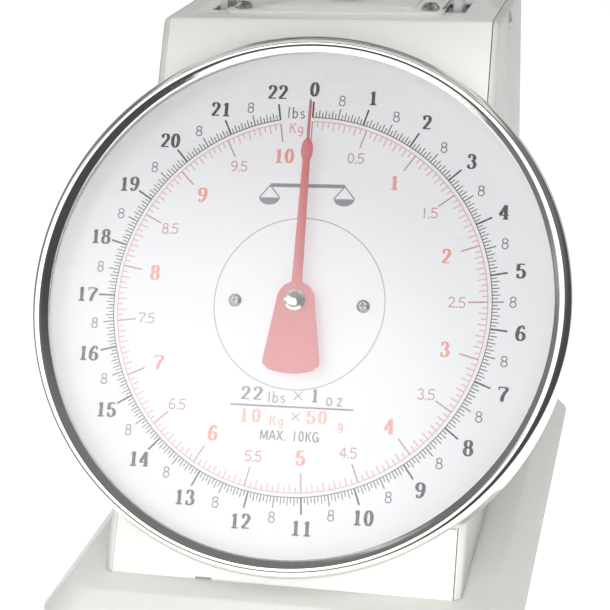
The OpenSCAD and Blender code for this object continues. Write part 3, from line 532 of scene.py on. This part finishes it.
class Print:
    """One ink's share of the dial, drawn flat in the dial's frame in multiples of the pound circle."""

    def __init__(self, name, colour, layer):
        self.name = name
        self.colour = colour
        self.mesh = bmesh.new()
        self.height = PRINT_N + layer * INK_STEP

    def point(self, x, v):
        turn = math.radians(PRINT_TURN)
        scale = SCALE_R / MM
        x, v = x * math.cos(turn) - v * math.sin(turn), x * math.sin(turn) + v * math.cos(turn)
        return self.mesh.verts.new(on_dial(x * scale, v * scale, self.height))

    def ribbon(self, path, width):
        """A strip along a path. width gives its width from the direction it runs in."""
        closed = math.dist(path[0], path[-1]) < 1e-6
        rails = []
        for i, (x, v) in enumerate(path):
            before = path[i - 1] if i else (path[-2] if closed else path[0])
            after = path[i + 1] if i + 1 < len(path) else (path[1] if closed else path[-1])
            dx, dv = after[0] - before[0], after[1] - before[1]
            length = math.hypot(dx, dv)
            half = width(dx / length, dv / length) / 2
            side = (-dv / length * half, dx / length * half)
            rails.append((self.point(x - side[0], v - side[1]), self.point(x + side[0], v + side[1])))
        for (low_a, high_a), (low_b, high_b) in zip(rails, rails[1:]):
            self.mesh.faces.new((low_a, low_b, high_b, high_a))
        self.height += STROKE_STEP

    def bar(self, start, end, width):
        self.ribbon([start, end], lambda dx, dv: width)

    def disc(self, x, v, radius):
        rim = arc(x, v, radius, radius, 0, 360, 20)[:-1]
        self.mesh.faces.new([self.point(*p) for p in rim])
        self.height += STROKE_STEP

    def circle(self, radius, width, start=0.0, end=360.0):
        """A line at a radius between two clock angles."""
        self.ribbon(arc(0, 0, radius, radius, 90 - end, 90 - start, 300), lambda dx, dv: width)

    def tick(self, angle, inner, outer, width):
        self.bar(at_angle(angle, inner), at_angle(angle, outer), width)

    def text(self, words, x, v, height, bold=False, weight=0.085, gap=0.06, stretch=1.0):
        """Writes words with their middle at x, v. Bold ones have thick uprights and thin level strokes."""
        wide = height * stretch
        left = x - (sum(SHAPES[c][0] + gap for c in words) - gap) * wide / 2
        low = v - height / 2

        def place(p):
            return (left + p[0] * wide, low + p[1] * height)

        def stroke(dx, dv):
            if not bold:
                return weight * height
            return (SERIF_T + (BOLD_T - SERIF_T) * abs(dv) ** 1.5) * height

        for c in words:
            width, paths = SHAPES[c]
            for run in (run for path in paths for run in smooth_runs(path)):
                self.ribbon([place(p) for p in run], stroke)
            if bold:
                for start, end in SERIF_BARS.get(c, []):
                    self.bar(place(start), place(end), SERIF_T * 1.15 * height)
                for centre in DROPS.get(c, []):
                    self.disc(*place(centre), DROP_R * height)
            left += (width + gap) * wide

    def finish(self):
        mesh = bpy.data.meshes.new(self.name)
        self.mesh.to_mesh(mesh)
        self.mesh.free()
        mesh.materials.append(ink("ink_" + self.name, self.colour))
        piece = bpy.data.objects.new("dial_print_" + self.name, mesh)
        bpy.context.scene.collection.objects.link(piece)
        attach(piece, "housing")


def at_angle(angle, radius):
    """The point at a clock angle and a radius."""
    a = math.radians(angle)
    return radius * math.sin(a), radius * math.cos(a)


def print_pounds():
    """The outer scale: a tick for each ounce, a number for each pound, an 8 for each half."""
    black = Print("pounds", (0.035, 0.035, 0.04), 0)
    per_pound = SWEEP / POUNDS
    ounces = 16
    black.circle(1.0, 0.0045, 0, SWEEP)
    for i in range(POUNDS * ounces + 1):
        angle = i * per_pound / ounces
        if i % ounces == 0:
            reach, width = 1.088, 0.0095
        elif i % (ounces // 2) == 0:
            reach, width = 1.058, 0.0058
        elif i % 2 == 0:
            reach, width = 1.041, 0.0048
        else:
            reach, width = 1.029, 0.0048
        black.tick(angle, 1.0, reach, width)
    for pound in range(POUNDS + 1):
        black.text(str(pound), *at_angle(pound * per_pound, 1.155), 0.078, bold=True, gap=0.08, stretch=1.06)
    black.finish()
    grey = Print("half_pounds", (0.14, 0.14, 0.15), 1)
    for pound in range(POUNDS):
        grey.text("8", *at_angle((pound + 0.5) * per_pound, 1.105), 0.055, weight=0.11, stretch=1.3)
    grey.text("lbs", *at_angle(-5.0, 1.03), 0.062, weight=0.11, gap=0.14, stretch=1.05)
    grey.finish()


def print_kilos():
    """The inner scale: a tick for each 50 g, a long one and a number for each half kilogram."""
    pale = Print("kilo_ticks", (0.70, 0.37, 0.39), 0)
    per_kilo = SWEEP / KILOS
    divisions = 20
    pale.circle(0.978, 0.0055, 0, SWEEP)
    for i in range(KILOS * divisions + 1):
        if i % 10 == 0:
            continue
        reach = 0.933 if i % 2 == 0 else 0.948
        pale.tick(i * per_kilo / divisions, 0.978, reach, 0.006)
    pale.text("Kg", *at_angle(-5.1, 0.945), 0.054, weight=0.14, gap=0.12, stretch=1.15)
    pale.finish()
    dull = Print("half_kilos", (0.48, 0.22, 0.23), 1)
    for half in range(2 * KILOS + 1):
        dull.tick(half * per_kilo / 2, 0.978, 0.878, 0.0075)
    for half in range(KILOS):
        x, v = at_angle((half + 0.5) * per_kilo, 0.82)
        dull.text(f"{half}5", x, v, 0.056, weight=0.11, gap=0.14, stretch=1.25)
        dull.disc(x, v - 0.026, 0.0045)
    dull.finish()
    red = Print("kilos", (0.78, 0.30, 0.24), 1)
    for kilo in range(1, KILOS + 1):
        red.text(str(kilo), *at_angle(kilo * per_kilo, 0.80), 0.078, bold=True, gap=0.08, stretch=1.06)
    red.finish()
    faded = Print("capacity", (0.80, 0.44, 0.38), 1)
    faded.text("10", -0.211, -0.592, 0.070, bold=True, gap=0.20, stretch=1.15)
    faded.text("Kg", -0.070, -0.612, 0.050, weight=0.15, gap=0.16, stretch=1.15)
    faded.text("50", 0.139, -0.586, 0.070, bold=True, gap=0.12, stretch=1.15)
    faded.text("g", 0.264, -0.617, 0.052, weight=0.15)
    faded.finish()


def print_caption():
    """Range and capacity under the pointer, a thin inner circle, and a pictogram of a balance."""
    dark = Print("caption", (0.19, 0.19, 0.20), 0)
    dark.text("22", -0.212, -0.478, 0.070, bold=True, gap=0.12, stretch=1.25)
    dark.text("1", 0.121, -0.475, 0.070, bold=True)
    dark.bar((-0.319, -0.540), (0.326, -0.540), 0.009)
    dark.text("MAX. 10KG", 0.004, -0.688, 0.052, weight=0.14, gap=0.06, stretch=1.02)
    dark.finish()
    thin = Print("fine_lines", (0.32, 0.32, 0.33), 1)
    thin.circle(0.452, 0.005)
    thin.text("lbs", -0.078, -0.492, 0.058, weight=0.13, gap=0.14, stretch=1.1)
    thin.text("x", 0.034, -0.460, 0.100, weight=0.06)
    thin.text("x", 0.028, -0.570, 0.094, weight=0.06)
    thin.text("oz", 0.224, -0.490, 0.066, weight=0.13, gap=0.30)
    thin.finish()
    grey = Print("balance", (0.22, 0.22, 0.235), 2)
    beam_v, pan_v, pan_r = 0.628, 0.560, 0.055
    for side in (-1, 1):
        x = side * 0.20
        grey.bar((0, beam_v), (x, beam_v), 0.020)
        for foot in (-pan_r, pan_r):
            grey.bar((x, beam_v), (x + foot, pan_v), 0.007)
        grey.mesh.faces.new([grey.point(*p) for p in arc(x, pan_v, pan_r, pan_r * 0.7, 180, 360, 16)])
    grey.finish()


# ---- Pointer ----

POINTER_TIP = 86.4
TAIL_END = 30.3
BOSS_R = 8
LOBE_AT, LOBE_HALF_LENGTH, LOBE_HALF_WIDTH = 64, 5.2, 2.5
NEEDLE_HALF = 0.62


def pointer_half_width(v):
    """Half the pointer's width at a distance up its length, in mm."""
    half = NEEDLE_HALF if v > 0 else 0
    if 0 <= v <= LOBE_AT:
        half = max(half, 2.3 - 0.8 * v / LOBE_AT)
    if abs(v) < BOSS_R:
        half = max(half, math.sqrt(BOSS_R ** 2 - v * v))
    from_lobe = (v - LOBE_AT) / LOBE_HALF_LENGTH
    if abs(from_lobe) < 1:
        half = max(half, LOBE_HALF_WIDTH * math.sqrt(1 - from_lobe ** 2))
    if v < 0:
        flare, corner = 0.153125, 2.4
        side = BOSS_R - flare * v
        # The end is an arc about the hub, with its two corners rounded off.
        past = (-v - (math.sqrt(TAIL_END ** 2 - side ** 2) - corner)) / corner
        if past > 0:
            side -= corner * (1 - math.sqrt(max(0, 1 - min(past, 1) ** 2)))
        half = max(half, min(side, math.sqrt(max(0, TAIL_END ** 2 - v * v))))
    taper = 1.6
    if v > POINTER_TIP - taper:
        half = NEEDLE_HALF * math.sqrt(max(0, (POINTER_TIP - v) / taper))
    return half


def pointer_stops():
    """Where the outline is sampled: close together at the tail's corners, the boss, the lobe and the tip."""
    stops = [-TAIL_END + 0.03 * i * i for i in range(11)] + [-27 + i for i in range(20)]
    stops += [-7.9 + 0.4 * i for i in range(20)] + [0.3 + 0.4 * i for i in range(20)]
    stops += [8.5 + 2 * i for i in range(26)] + [58.8 + 0.1 * i * i for i in range(5)]
    stops += [61 + 0.5 * i for i in range(15)] + [68.3, 68.8, 69.1, 69.2, 71, 76, 80]
    stops += [84.8, 85.2, 85.6, 86, 86.2, 86.35, POINTER_TIP]
    return sorted(set(round(v, 3) for v in stops))


def add_pointer():
    """A stamped pointer: a creased arm with an oval lobe, and a broad flat tail that balances it."""
    low, edge, ridge = 6.45, 6.95, 7.38
    crease_from, crease_over = 6, 6
    turn, across = math.sin(math.radians(POINTER_TURN)), math.cos(math.radians(POINTER_TURN))
    mesh = bmesh.new()
    rows = []
    for v in pointer_stops():
        half = max(pointer_half_width(v), 0.05)
        crease = min(1, max(0, (v - crease_from) / crease_over))
        rise = crease * (ridge - edge)
        flat = edge + (ridge - edge) * (1 - crease) * 0.6
        rim = min(0.25, half * 0.4)
        row = [(-half, low), (-half, flat - 0.18), (-half + rim, flat), (0, flat + rise),
               (half - rim, flat), (half, flat - 0.18), (half, low)]
        rows.append([
            mesh.verts.new(on_dial(x * across - v * turn, x * turn + v * across, n)) for x, n in row
        ])
    for a, b in zip(rows, rows[1:]):
        for i in range(len(a)):
            j = (i + 1) % len(a)
            mesh.faces.new((a[i], a[j], b[j], b[i]))
    mesh.faces.new(rows[0])
    mesh.faces.new(rows[-1][::-1])
    bmesh.ops.recalc_face_normals(mesh, faces=mesh.faces)
    for face in mesh.faces:
        face.smooth = True
    data = bpy.data.meshes.new("pointer_stamping")
    mesh.to_mesh(data)
    mesh.free()
    data.set_sharp_from_angle(angle=math.radians(24))
    data.materials.append(pointer_red())
    piece = bpy.data.objects.new("pointer_stamping", data)
    bpy.context.scene.collection.objects.link(piece)
    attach(piece, "pointer_train")
    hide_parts("pointer")


# ---- Bezel ----

def add_bezel():
    """The bezel, turned finely enough for a mirror: a skirt, a round bead and a slope down to the lens."""
    low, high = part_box("bezel_ring")
    outer = (high[0] - low[0]) / 2 / MM
    width, bead_r, bead_n, slope, sheet = 7.3, 3.3, 9.5, 35, 0.9
    skirt_n, seat_n, lip_r = -3, 9.95, 0.25
    inner, bead_x = outer - width, outer - bead_r
    crest_x = bead_x - bead_r * math.sin(math.radians(slope))
    crest_n = bead_n + bead_r * math.cos(math.radians(slope))
    fall = math.tan(math.radians(slope))
    lip_n = crest_n - (crest_x - inner) * fall
    profile = [(outer, skirt_n), (outer, skirt_n + 6)]
    profile += arc(bead_x, bead_n, bead_r, bead_r, 0, 90 + slope, 28)
    slope_run, slope_drop = inner + lip_r - crest_x, lip_n + lip_r * fall - crest_n
    profile += [(crest_x + slope_run * i / 4, crest_n + slope_drop * i / 4) for i in range(1, 5)]
    profile += [(inner + 0.06, lip_n - 0.06), (inner, lip_n - 0.25), (inner, seat_n)]
    profile += [(outer - sheet, seat_n), (outer - sheet, skirt_n)]
    mesh = bmesh.new()
    steps = 360
    hoops = []
    for i in range(steps):
        a = 2 * math.pi * i / steps
        hoops.append([mesh.verts.new(on_dial(x * math.cos(a), x * math.sin(a), n)) for x, n in profile])
    for i, hoop in enumerate(hoops):
        after = hoops[(i + 1) % steps]
        for j in range(len(hoop)):
            k = (j + 1) % len(hoop)
            mesh.faces.new((hoop[j], hoop[k], after[k], after[j]))
    bmesh.ops.recalc_face_normals(mesh, faces=mesh.faces)
    for face in mesh.faces:
        face.smooth = True
    data = bpy.data.meshes.new("bezel_turning")
    mesh.to_mesh(data)
    mesh.free()
    data.set_sharp_from_angle(angle=math.radians(50))
    data.materials.append(bezel_chrome())
    piece = bpy.data.objects.new("bezel_turning", data)
    bpy.context.scene.collection.objects.link(piece)
    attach(piece, "housing")
    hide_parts("bezel_ring")


# ---- Finishing the CAD nodes ----

def soften(node, width):
    """Joins the split faces of a CAD node, rounds its sharp edges by width mm and shades it smooth."""
    piece = NODES[node]
    for name in ("custom_normal", "sharp_face", "sharp_edge"):
        if name in piece.data.attributes:
            piece.data.attributes.remove(piece.data.attributes[name])
    weld = piece.modifiers.new("weld", "WELD")
    weld.merge_threshold = 0.004 * MM
    if width:
        bevel = piece.modifiers.new("bevel", "BEVEL")
        bevel.width = width * MM
        bevel.segments = 2
        bevel.limit_method = "ANGLE"
        bevel.angle_limit = math.radians(40)
        bevel.use_clamp_overlap = True
        bevel.harden_normals = False
    split = piece.modifiers.new("split", "EDGE_SPLIT")
    split.split_angle = math.radians(34)
    split.use_edge_sharp = False


def dress():
    """Gives every CAD node its material, by the record's material slot, and softens its edges."""
    finishes = {
        "enamel": enamel("enamel", (0.64, 0.65, 0.615)),
        "zinc": zinc(),
        "steel": turned_steel("turned_steel", (0.62, 0.60, 0.55)),
        "spring_steel": spring_wire(),
        "brass": brass(),
        "bezel_chrome": bezel_chrome(),
        "stainless": stainless(),
        "rubber": rubber("rubber", (0.035, 0.035, 0.035), 0.75),
        "gasket_rubber": rubber("gasket_rubber", (0.62, 0.62, 0.61), 0.6),
        "dial_print": dial_white(),
        "clear_lens": clear_lens(),
        "pointer_red": pointer_red(),
        "knob_plastic": knob_plastic(),
    }
    # Painted light: front_panel and top_bracket get a lighter copy of the enamel, to lift faces that the lamps
    # leave darker.
    painted_light_enamel = enamel("enamel_with_painted_light", (0.79, 0.80, 0.77))
    special = {"carriage": carriage_steel(), "front_panel": painted_light_enamel, "top_bracket": painted_light_enamel,
               "dial_screws": turned_steel("dull_steel", (0.34, 0.335, 0.32))}
    bevels = {"base_pan": 0.25, "front_panel": 0.25, "side_panel_left": 0.3, "side_panel_right": 0.3,
              "rear_cover": 0.25, "top_bracket": 0.35, "platform_pan": 0.25, "carriage": 0.25,
              "zero_knob": 0.2, "bottom_plate": 0.2}
    for part in frame["record"]["subparts"]:
        node = part["node"]
        mesh = NODES[node].data
        mesh.materials.clear()
        mesh.materials.append(special.get(node) or finishes[part["material_slot"]])
        soften(node, bevels.get(node, 0))


add_camera()
add_floor()
add_softbox_sky()
add_fill("front", (0.3, -1.3, 0.42), (0, 0, 0.15), 0.9, 9.0)
add_fill("above", (0.25, -0.95, 1.25), (0, 0, 0.15), 1.2, 13.0, shadow=False)
add_fill("top", (-0.1, 0.2, 1.7), (0, 0, 0.15), 1.4, 3.0)
add_fill("right", (1.2, -0.4, 0.9), (0, 0, 0.15), 0.8, 2.1)
add_fill("near", (0.06, -0.42, 0.50), (0, -0.05, 0.20), 0.25, 0.70, shadow=False)
add_fill("back_left", (-1.1, 0.9, 0.8), (0, 0, 0.15), 1.0, 7.0)
dress()
print_pounds()
print_kilos()
print_caption()
add_pointer()
add_bezel()
